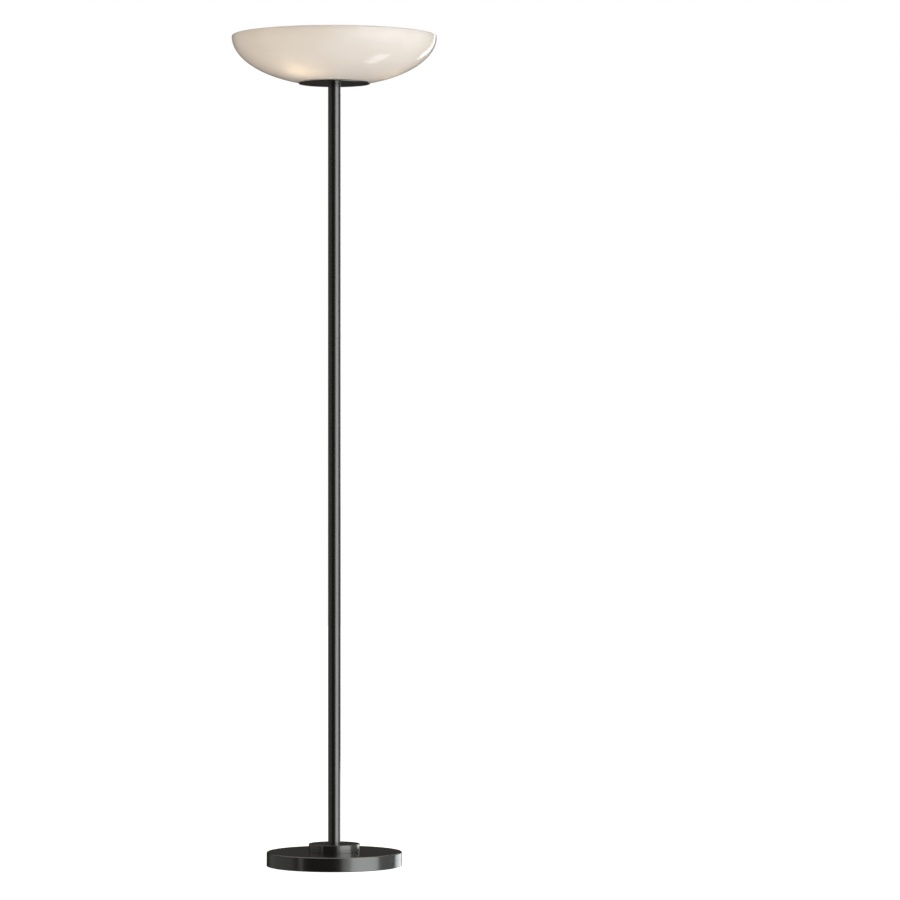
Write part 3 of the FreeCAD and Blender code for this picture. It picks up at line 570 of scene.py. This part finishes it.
def soft_box(name, turn, distance, wide, low, high, brightness):
    """An upright soft box that faces the lamp. Its power gives its face that brightness, at any size."""
    angle = math.radians(turn)
    middle = (low + high) / 2
    place = Vector((math.sin(angle) * distance, -math.cos(angle) * distance, middle))
    bpy.ops.object.light_add(type="AREA", location=place)
    box = bpy.context.object
    box.name = box.data.name = name
    box.data.shape = "RECTANGLE"
    box.data.size = wide
    box.data.size_y = high - low
    box.data.color = DAYLIGHT
    box.data.energy = brightness * math.pi * wide * (high - low)
    box.rotation_euler = (Vector((0, 0, middle)) - place).to_track_quat("-Z", "Y").to_euler()


def studio_air():
    """White behind the lamp, a dim room with a bright ceiling for gloss, and warm even light for all else."""
    world = bpy.data.worlds.get("studio_air") or bpy.data.worlds.new("studio_air")
    bpy.context.scene.world = world
    world.use_nodes = True
    tree = world.node_tree
    tree.nodes.clear()
    place = add_node(tree, "ShaderNodeTexCoord")
    parts = add_node(tree, "ShaderNodeSeparateXYZ", links={"Vector": (place, "Generated")})
    walls = {"From Min": ROOM_RISE[0], "From Max": ROOM_RISE[1]}
    rise = add_node(tree, "ShaderNodeMapRange", walls, {"Value": (parts, "Z")})
    ends = dict(zip(MIX_ENDS, ((*linear(code), 1) for code in ROOM)))
    room = add_node(tree, "ShaderNodeMix", ends, {0: (rise, "Result")}, data_type="RGBA")
    glossy = add_node(tree, "ShaderNodeBackground", {"Strength": 1.0}, {"Color": (room, MIXED)})
    fall = {"From Min": -1.0, "From Max": 1.0, "To Min": EVEN_STRENGTH[0], "To Max": EVEN_STRENGTH[1]}
    bounce = add_node(tree, "ShaderNodeMapRange", fall, {"Value": (parts, "Z")})
    warm = {"Color": (*linear(EVEN_LIGHT), 1)}
    even = add_node(tree, "ShaderNodeBackground", warm, {"Strength": (bounce, "Result")})
    white = add_node(tree, "ShaderNodeBackground", {"Color": (1, 1, 1, 1), "Strength": 1.0})
    seen = add_node(tree, "ShaderNodeLightPath")
    indirect = {0: (seen, "Is Glossy Ray"), 1: (even, "Background"), 2: (glossy, "Background")}
    lit = add_node(tree, "ShaderNodeMixShader", links=indirect)
    direct = {0: (seen, "Is Camera Ray"), 1: (lit, "Shader"), 2: (white, "Background")}
    both = add_node(tree, "ShaderNodeMixShader", links=direct)
    add_node(tree, "ShaderNodeOutputWorld", links={"Surface": (both, "Shader")})


def pale_matt_floor():
    """Painted board: nearly white and matt, with a faint glow of its own, so that its edge doesn't show."""
    made, tree, shader, place = new_finish(
        "pale_matt_floor", IOR=1.3, Emission_Color=(1, 1, 1, 1), Emission_Strength=FLOOR_GLOW
    )
    drift(tree, shader, place, (linear("#fbfaf8"), linear("#f9f8f6")), patch=900.0)
    grain(tree, shader, place, size=3.0, roughness=(0.8, 0.9), relief=0.01)
    return made


class TORCHIERE_OT_stage(bpy.types.Operator):
    """Adds the pale floor, the soft lights, the white air and the camera"""

    bl_idname = "torchiere.stage"
    bl_label = "Stage"

    def execute(self, context):
        clear_selection()
        bpy.ops.mesh.primitive_circle_add(vertices=SMALL_STEPS, radius=FLOOR_RADIUS, fill_type="NGON")
        floor = context.object
        floor.name = floor.data.name = "studio_floor"
        floor.data.materials.append(pale_matt_floor())
        floor.visible_diffuse = floor.visible_glossy = False
        studio_air()
        for name, facts in SOFT_BOXES.items():
            soft_box(name, *facts)
        bpy.ops.object.camera_add(location=CAMERA_PLACE, rotation=(math.pi / 2, 0, 0))
        camera = context.object
        camera.name = camera.data.name = "studio_camera"
        camera.data.lens = CAMERA_LENS
        camera.data.sensor_width = CAMERA_SENSOR
        camera.data.shift_y = CAMERA_RISE
        context.scene.camera = camera
        context.scene.view_settings.view_transform = "Standard"
        return {"FINISHED"}


# ---- The base ------------------------------------------------------------------------------------------
INLET_HEIGHT = 12.0
INLET_HOLE = 6.5
DRILL_OVER = 4.0  # how far the drill runs past the sheet on each side
GLAND_BORE = 2.5
GLAND_FLANGE = 8.2
GLAND_GROOVE = 6.35
GLAND_LIPS = (2.4, 2.2)  # thickness of the lips inside and outside the cover
ROD_HOLE = 5.2
SOCKET_DEPTH = 10.0
SOCKET_PLAY = 0.15
RELIEF = (18.0, 50.0, 5.0)  # inner radius, outer radius and depth of the hollow under the collar


class TORCHIERE_OT_base(bpy.types.Operator):
    """Adds the stepped base: the foot pad, the pressed cover, the cord gland and the collar"""

    bl_idname = "torchiere.base"
    bl_label = "Base"

    def execute(self, context):
        sizes = context.scene.torchiere_sizes
        self.pad()
        self.cover(sizes.base_radius / MM, sizes.sheet / MM, sizes.base_edge / MM)
        self.gland()
        self.collar(sizes.collar_radius / MM, sizes.pole_radius / MM)
        return {"FINISHED"}

    def pad(self):
        radius, high = reach("foot_pad"), top("foot_pad")
        outline = [(0, 0), (radius, 0, FINE), (radius, high, FINE), (0, high)]
        pad = turned("pad_sheet", outline, BASE_STEPS, False)
        hand_over(pad, finish_of("foam"), "root", "foam", "foot_pad")

    def cover(self, radius, sheet, edge):
        low, high = foot("base_cover"), top("base_cover")
        inner = radius - sheet
        outline = [
            (ROD_HOLE, high),
            (radius, high, edge),
            (radius, low, FINE),
            (inner, low, FINE),
            (inner, high - sheet, edge - sheet),
            (ROD_HOLE, high - sheet),
        ]
        cover = turned("cover_pressing", outline, BASE_STEPS)
        drill = rod("inlet_drill", INLET_HOLE, inner - DRILL_OVER, radius + DRILL_OVER)
        to_the_back(drill, INLET_HEIGHT)
        combine(cover, drill, "DIFFERENCE")
        hand_over(cover, finish_of("dark_finish"), "root", "dark_finish", "base_cover")

    def gland(self):
        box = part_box("cord_gland")
        start, end = box[0].y / MM, box[1].y / MM
        inside, outside = start + GLAND_LIPS[0], end - GLAND_LIPS[1]
        outline = [
            (GLAND_BORE, start, FINE),
            (GLAND_FLANGE, start, SOFT),
            (GLAND_FLANGE, inside),
            (GLAND_GROOVE, inside),
            (GLAND_GROOVE, outside),
            (GLAND_FLANGE, outside),
            (GLAND_FLANGE, end, SOFT),
            (GLAND_BORE, end, FINE),
        ]
        gland = turned("inlet_gland", outline, SMALL_STEPS)
        to_the_back(gland, INLET_HEIGHT)
        hand_over(gland, finish_of("black_moulding"), "root", "black_moulding", "cord_gland")

    def collar(self, radius, pole):
        low, high = foot("base_collar"), top("base_collar")
        inner, outer, deep = RELIEF
        outline = [
            (ROD_HOLE, low),
            (inner, low),
            (inner, low + deep, SOFT),
            (outer, low + deep, SOFT),
            (outer, low),
            (radius, low, FINE),
            (radius, high, SOFT),
            (pole + SOCKET_PLAY, high, FINE),
            (pole + SOCKET_PLAY, high - SOCKET_DEPTH),
            (ROD_HOLE, high - SOCKET_DEPTH),
        ]
        collar = turned("collar_turning", outline, BASE_STEPS)
        hand_over(collar, finish_of("dark_finish"), "root", "dark_finish", "base_collar")


# ---- The pole ------------------------------------------------------------------------------------------
class TORCHIERE_OT_pole(bpy.types.Operator):
    """Adds the pole's three tubes, flush at their joints"""

    bl_idname = "torchiere.pole"
    bl_label = "Pole"

    def execute(self, context):
        sizes = context.scene.torchiere_sizes
        outer = sizes.pole_radius / MM
        inner = outer - sizes.pole_wall / MM
        for part in ("lower", "middle", "upper"):
            node = f"pole_{part}"
            low, high = foot(node), top(node)
            outline = [(inner, low), (outer, low, SEAM), (outer, high, SEAM), (inner, high)]
            tube = turned(f"tube_{part}", outline, POLE_STEPS)
            hand_over(tube, finish_of("dark_finish"), "root", "dark_finish", node)
        return {"FINISHED"}


# ---- The seat of the bowl ------------------------------------------------------------------------------
LOCATOR = (61.8, 63.8)  # radii of the plate's upstanding ring
LOCATOR_RISE = 4.5
PLATE_THICK = 2.5
STUD_CIRCLE = 57.0
THUMB = (2.06, 5.6, 6.4)  # radii of the bore, the fluted body and the flange
THUMB_HEIGHTS = (1.4, 8.5)  # top of the flange and of the nut, over the clamp ring
THUMB_FLUTE = 0.28


class TORCHIERE_OT_seat(bpy.types.Operator):
    """Adds the disc under the bowl and the three thumb nuts that hold the bowl down"""

    bl_idname = "torchiere.seat"
    bl_label = "Seat"

    def execute(self, context):
        self.plate(context.scene.torchiere_sizes.plate_radius / MM)
        self.nuts()
        return {"FINISHED"}

    def plate(self, radius):
        low = foot("shade_plate")
        high = low + PLATE_THICK
        rise = high + LOCATOR_RISE
        outline = [
            (ROD_HOLE, low),
            (radius, low, SOFT),
            (radius, high, SOFT),
            (LOCATOR[1], high),
            (LOCATOR[1], rise, FINE),
            (LOCATOR[0], rise, FINE),
            (LOCATOR[0], high),
            (ROD_HOLE, high),
        ]
        plate = turned("plate_disc", outline, BASE_STEPS)
        hand_over(plate, finish_of("dark_finish"), "root", "dark_finish", "shade_plate")

    def nuts(self):
        low = foot("thumb_nuts")
        bore, body, flange = THUMB
        shoulder, high = (low + height for height in THUMB_HEIGHTS)
        outline = [
            (bore, low),
            (flange, low, FINE),
            (flange, shoulder, FINE),
            (body, shoulder),
            (body, high - 2 * SOFT),
            (body, high, SOFT),
            (bore, high, FINE),
        ]
        nut = turned("thumb_nut_1", outline, FLUTED_STEPS)
        fluted(nut, body, shoulder, high - 2 * SOFT, THUMB_FLUTE)
        nuts = [nut, copy_of(nut, "thumb_nut_2"), copy_of(nut, "thumb_nut_3")]
        for nut, arm in zip(nuts, ARMS):
            away = Vector((arm.x, arm.y, 0)).normalized()
            nut.location = -away * STUD_CIRCLE * MM
            settle(nut)
            hand_over(nut, finish_of("brass"), "root", "brass", "thumb_nuts")


# ---- The bowl ------------------------------------------------------------------------------------------
BOWL_ARC_STEPS = 46
RIM_ARC_STEPS = 8


class TORCHIERE_OT_bowl(bpy.types.Operator):
    """Adds the opal glass bowl, with its flat, holed seat and its fire-polished rim"""

    bl_idname = "torchiere.bowl"
    bl_label = "Bowl"

    def execute(self, context):
        sizes = context.scene.torchiere_sizes
        radius, wall = sizes.bowl_radius / MM, sizes.bowl_wall / MM
        deep, hole = sizes.bowl_curve / MM, sizes.bowl_hole / MM
        seat, rim = foot("glass_bowl"), wall / 2
        centre = top("glass_bowl") - rim
        heel = -math.degrees(math.asin((centre - seat) / deep))
        floor = -math.degrees(math.asin((centre - seat - wall) / (deep - wall)))
        outside = arc((0, centre), (radius, deep), heel, 0, BOWL_ARC_STEPS)
        inside = arc((0, centre), (radius - wall, deep - wall), 0, floor, BOWL_ARC_STEPS)
        polished = arc((radius - rim, centre), (rim, rim), 0, 180, RIM_ARC_STEPS)
        outside[0] = (*outside[0], rim / 2)
        outline = [(hole, seat, SOFT), *outside, *polished[1:-1], *inside, (hole, seat + wall, SOFT)]
        bowl = turned("blown_bowl", outline, BOWL_STEPS)
        hand_over(bowl, finish_of("opal_glass"), "root", "opal_glass", "glass_bowl")
        return {"FINISHED"}


# ---- The cluster of lampholders ------------------------------------------------------------------------
HUB = (14.5, 17.0)  # inner and outer radius
MEET = ARMS_MEET.z / MM
HUB_TOP = MEET + 16.5
HUB_LOW = MEET - 11.0
HUB_FLOOR = HUB_LOW + HUB[1] - HUB[0]
NECK = 11.0
BOSS = (5.06, 9.0)  # bore and outside of the bosses on the arms
BOSS_START = HUB[0] + 1.0  # inside the hub's wall, where the boss joins it
BOSS_END = 22.6
DRILLED = 19.6  # depth of the hole in a boss, which opens into the hub
BOSS_DRILL_OVER = 3.0  # how far its drill runs past the boss's end
SPIGOT_PLAY = 0.06
KNOB_SPIGOT = 5.0
KNOB_FLANGE = (7.5, 2.0)  # radius, and height over the lid
KNOB_WAIST = (4.2, 3.4)
KNOB_BALL = (6.2, 6.4)


class TORCHIERE_OT_cluster(bpy.types.Operator):
    """Adds the cast hub with its three bosses, its lid and the knob on top"""

    bl_idname = "torchiere.cluster"
    bl_label = "Cluster"

    def execute(self, context):
        metal = finish_of("die_cast")
        hand_over(self.hub(), metal, "root", "die_cast", "cluster_body")
        hand_over(self.lid(), metal, "root", "die_cast", "cluster_lid")
        hand_over(self.knob(), metal, "root", "die_cast", "cluster_finial")
        return {"FINISHED"}

    def hub(self):
        low = foot("cluster_body")
        outline = [
            (ROD_HOLE, low),
            (NECK, low, FINE),
            (NECK, HUB_LOW, SOFT),
            (HUB[1], HUB_LOW, CAST),
            (HUB[1], HUB_TOP),
            (HUB[0], HUB_TOP),
            (HUB[0], HUB_FLOOR),
            (ROD_HOLE, HUB_FLOOR),
        ]
        hub = turned("hub_casting", outline, SMALL_STEPS)
        for arm in ARMS:
            outline = [(0, BOSS_START), (BOSS[1], BOSS_START), (BOSS[1], BOSS_END, FINE), (0, BOSS_END)]
            boss = turned("boss", outline, ROD_STEPS, False)
            on_arm(boss, arm)
            combine(hub, boss, "UNION")
            drill = rod("drill", BOSS[0], BOSS_END - DRILLED, BOSS_END + BOSS_DRILL_OVER)
            on_arm(drill, arm)
            combine(hub, drill, "DIFFERENCE")
        return hub

    def lid(self):
        low, high = foot("cluster_lid"), top("cluster_lid")
        outline = [
            (BOSS[0], low),
            (HUB[0] - SPIGOT_PLAY, low, FINE),
            (HUB[0] - SPIGOT_PLAY, HUB_TOP),
            (HUB[1], HUB_TOP, FINE),
            (HUB[1], (HUB_TOP + high) / 2, SOFT),
            (HUB[0], high, SOFT),
            (BOSS[0], high),
        ]
        return turned("hub_lid", outline, SMALL_STEPS)

    def knob(self):
        low, high = foot("cluster_finial"), top("cluster_finial")
        lid = top("cluster_lid")
        outline = [
            (0, low),
            (KNOB_SPIGOT, low, FINE),
            (KNOB_SPIGOT, lid),
            (KNOB_FLANGE[0], lid, FINE),
            (KNOB_FLANGE[0], lid + KNOB_FLANGE[1], SOFT),
            (KNOB_WAIST[0], lid + KNOB_WAIST[1], SOFT),
            (KNOB_BALL[0], lid + KNOB_BALL[1], 2 * SOFT),
            (KNOB_WAIST[0], high, 2 * SOFT),
            (0, high),
        ]
        return turned("hub_knob", outline, SMALL_STEPS, False)


# ---- The lampholders -----------------------------------------------------------------------------------
HOLDER_START = BOSS_END
HOLDER_MOUTH = 60.0
HOLDER_BACK = 11.0
HOLDER_BARREL = 17.0
HOLDER_DOME = HOLDER_BARREL - HOLDER_BACK
HOLDER_FLUTED = HOLDER_START + 1.9 * HOLDER_DOME  # where the flutes start, clear of the rounded back
HOLDER_RADIUS = 18.0
HOLDER_SHOULDER = 46.0
HOLDER_BORE = 14.16
HOLDER_FLOOR = 33.6
CHAMBER = (6.5, 29.1)  # radius and start
HOLDER_FLUTE = 0.45


class TORCHIERE_OT_holders(bpy.types.Operator):
    """Adds the three moulded lampholders, each with a fluted barrel and a wider mouth"""

    bl_idname = "torchiere.holders"
    bl_label = "Lampholders"

    def execute(self, context):
        outline = [
            (BOSS[0], HOLDER_START),
            (HOLDER_BACK, HOLDER_START, SOFT),
            (HOLDER_BARREL, HOLDER_START + HOLDER_DOME, HOLDER_DOME / 2),
            (HOLDER_BARREL, HOLDER_FLUTED),
            (HOLDER_BARREL, HOLDER_SHOULDER),
            (HOLDER_RADIUS, HOLDER_SHOULDER, FINE),
            (HOLDER_RADIUS, HOLDER_MOUTH, SOFT),
            (HOLDER_BORE, HOLDER_MOUTH, FINE),
            (HOLDER_BORE, HOLDER_FLOOR),
            (CHAMBER[0], HOLDER_FLOOR),
            (CHAMBER[0], CHAMBER[1]),
            (BOSS[0], CHAMBER[1]),
        ]
        first = turned("holder_moulding_1", outline, FLUTED_STEPS)
        fluted(first, HOLDER_BARREL, HOLDER_FLUTED, HOLDER_SHOULDER, HOLDER_FLUTE)
        holders = [first, copy_of(first, "holder_moulding_2"), copy_of(first, "holder_moulding_3")]
        for number, (holder, arm) in enumerate(zip(holders, ARMS), 1):
            on_arm(holder, arm)
            hand_over(holder, finish_of("black_moulding"), "root", "black_moulding", f"holder_body_{number}")
        return {"FINISHED"}


# ---- The lamps -----------------------------------------------------------------------------------------
LAMP_FOOT = 36.1
BUTTON_TOP = 37.3
BUTTON = (3.0, 4.6)  # radii at the foot and the top
INSULATOR = (5.4, 9.4)
CAP_FOOT = 39.7
CAP_TURNS = 5
CAP_ROOT = 12.1
CAP_CREST = 12.9
CAP_WALL = 0.5
CAP_NECK = 9.6
CAP_FLOOR = 2.0
RIDGE_ROOT = 0.42 * THREAD_PITCH  # half the width of a ridge of the thread at its root
RIDGE_CREST = 0.55  # and at its crest
CAP_SKIRT = CAP_FOOT + THREAD_PITCH * CAP_TURNS
HOUSING_FOOT = 61.2
HOUSING_TOP = 98.1
HOUSING_WALL = 1.6
HOUSING_HOLE = 12.0
HOUSING_HEEL = 13.6
HOUSING_FLARE = (14.8, 6.0, 4.0)  # where it starts to widen: radius, height over its foot, rounding
HOUSING_SHOULDER = (25.2, 14.0, 7.0)  # where it straightens: radius, depth below its top, rounding
HOUSING_RADIUS = 26.2
HOUSING_LIP = 22.5  # radius of the hole that the globe stands over
HOUSING_TIGHTER = 1.0  # how much smaller the roundings are inside
GLOBE_CENTRE = 114.1
GLOBE_RADIUS = 30.0
GLOBE_WALL = 1.4
GLOBE_ARC_STEPS = 36


def rolled_thread(root, crest, low, turns):
    """Points of a rolled thread's half section: one round-tipped ridge to each pitch."""
    points = []
    for i in range(turns):
        middle = low + THREAD_PITCH * (i + 0.5)
        points.append((root, middle - RIDGE_ROOT))
        points.append((crest, middle - RIDGE_CREST, FINE))
        points.append((crest, middle + RIDGE_CREST, FINE))
        points.append((root, middle + RIDGE_ROOT))
    return points


class TORCHIERE_OT_lamps(bpy.types.Operator):
    """Adds the three screw-in lamps: foot contact, screw cap, housing and globe"""

    bl_idname = "torchiere.lamps"
    bl_label = "Lamps"

    def execute(self, context):
        parts = (
            (self.insulator(), "lamp_foot", "lamp_insulator", "lamp_contact"),
            (self.button(), "lamp_foot", "lamp_metal", "lamp_contact"),
            (self.cap(), "lamp", "lamp_metal", "lamp_cap"),
            (self.housing(), "lamp", "lamp_white", "lamp_housing"),
            (self.globe(), "lamp", "lamp_diffuser", "lamp_globe"),
        )
        for first, body, slot, node in parts:
            stem = first.name[:-2]
            pieces = [first, copy_of(first, f"{stem}_2"), copy_of(first, f"{stem}_3")]
            for number, (piece, arm) in enumerate(zip(pieces, ARMS), 1):
                on_arm(piece, arm)
                hand_over(piece, finish_of(slot), f"{body}_{number}", slot, f"{node}_{number}")
        return {"FINISHED"}

    def insulator(self):
        narrow, wide = INSULATOR
        outline = [
            (0, BUTTON_TOP),
            (narrow, BUTTON_TOP, FINE),
            (wide, CAP_FOOT - FINE, FINE),
            (wide, CAP_FOOT + FINE),
            (0, CAP_FOOT + FINE),
        ]
        return turned("foot_insulator_1", outline, SMALL_STEPS, False)

    def button(self):
        outline = [(0, LAMP_FOOT), (BUTTON[0], LAMP_FOOT, FINE), (BUTTON[1], BUTTON_TOP), (0, BUTTON_TOP)]
        return turned("foot_button_1", outline, ROD_STEPS, False)

    def cap(self):
        inner = CAP_ROOT - CAP_WALL
        crimp = CAP_ROOT + FINE
        outline = [(CAP_NECK, CAP_FOOT - FINE), (CAP_ROOT - FINE, CAP_FOOT - FINE), (CAP_ROOT, CAP_FOOT)]
        outline += rolled_thread(CAP_ROOT, CAP_CREST, CAP_FOOT, CAP_TURNS)
        outline += [(CAP_ROOT, CAP_SKIRT), (crimp, CAP_SKIRT + FINE), (crimp, HOUSING_FOOT)]
        outline += [(inner, HOUSING_FOOT), (inner, CAP_FOOT + CAP_FLOOR), (CAP_NECK, CAP_FOOT + CAP_FLOOR)]
        return turned("screw_cap_1", outline, SMALL_STEPS)

    def housing(self):
        flare, rise, flare_round = HOUSING_FLARE
        shoulder, drop, shoulder_round = HOUSING_SHOULDER
        start, end = HOUSING_FOOT + rise, HOUSING_TOP - drop
        outline = [
            (HOUSING_HOLE, HOUSING_FOOT),
            (HOUSING_HEEL, HOUSING_FOOT, FINE),
            (flare, start, flare_round),
            (shoulder, end, shoulder_round),
            (HOUSING_RADIUS, HOUSING_TOP, FINE),
            (HOUSING_LIP, HOUSING_TOP),
            (HOUSING_LIP, HOUSING_TOP - HOUSING_WALL),
            (HOUSING_RADIUS - HOUSING_WALL, HOUSING_TOP - HOUSING_WALL),
            (shoulder - HOUSING_WALL, end + FINE, shoulder_round - HOUSING_TIGHTER),
            (flare - HOUSING_WALL, start + FINE, flare_round - HOUSING_TIGHTER),
        ]
        return turned("lamp_shell_1", outline, SMALL_STEPS)

    def globe(self):
        inner = GLOBE_RADIUS - GLOBE_WALL
        drop = HOUSING_TOP - GLOBE_CENTRE
        start = math.degrees(math.asin(drop / GLOBE_RADIUS))
        end = math.degrees(math.asin(drop / inner))
        outline = arc((0, GLOBE_CENTRE), (GLOBE_RADIUS, GLOBE_RADIUS), start, 90, GLOBE_ARC_STEPS)
        outline += arc((0, GLOBE_CENTRE), (inner, inner), 90, end, GLOBE_ARC_STEPS)
        open_ends = outline[GLOBE_ARC_STEPS + 1 :] + outline[: GLOBE_ARC_STEPS + 1]
        return turned("frosted_dome_1", open_ends, SMALL_STEPS, False)


# ---- The parts that stay as packed ---------------------------------------------------------------------
class TORCHIERE_OT_fittings(bpy.types.Operator):
    """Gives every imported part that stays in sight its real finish"""

    bl_idname = "torchiere.fittings"
    bl_label = "Fittings"

    def execute(self, context):
        for entry in frame["record"]["subparts"]:
            node = frame["nodes"][entry["node"]]
            node.data.materials.clear()
            node.data.materials.append(finish_of(entry["material_slot"]))
        return {"FINISHED"}


# ---- The add-on ----------------------------------------------------------------------------------------
OPERATORS = (
    TORCHIERE_OT_stage,
    TORCHIERE_OT_fittings,
    TORCHIERE_OT_base,
    TORCHIERE_OT_pole,
    TORCHIERE_OT_seat,
    TORCHIERE_OT_bowl,
    TORCHIERE_OT_cluster,
    TORCHIERE_OT_holders,
    TORCHIERE_OT_lamps,
)


class TORCHIERE_PT_panel(bpy.types.Panel):
    """The lamp's sizes, finish and pieces"""

    bl_idname = "TORCHIERE_PT_panel"
    bl_label = "Torchiere"
    bl_space_type = "VIEW_3D"
    bl_region_type = "UI"
    bl_category = "Torchiere"

    def draw(self, context):
        for group in (context.scene.torchiere_sizes, context.scene.torchiere_finish):
            box = self.layout.box()
            for name in group.__annotations__:
                box.prop(group, name)
        for operator in OPERATORS:
            self.layout.operator(operator.bl_idname)


CLASSES = (TorchiereSizes, TorchiereFinish, *OPERATORS, TORCHIERE_PT_panel)


def register():
    for made in CLASSES:
        bpy.utils.register_class(made)
    bpy.types.Scene.torchiere_sizes = bpy.props.PointerProperty(type=TorchiereSizes)
    bpy.types.Scene.torchiere_finish = bpy.props.PointerProperty(type=TorchiereFinish)


def unregister():
    del bpy.types.Scene.torchiere_finish
    del bpy.types.Scene.torchiere_sizes
    for made in reversed(CLASSES):
        bpy.utils.unregister_class(made)


def main():
    register()
    for operator in OPERATORS:
        getattr(bpy.ops.torchiere, operator.bl_idname.split(".")[1])()


if __name__ == "__main__":
    main()
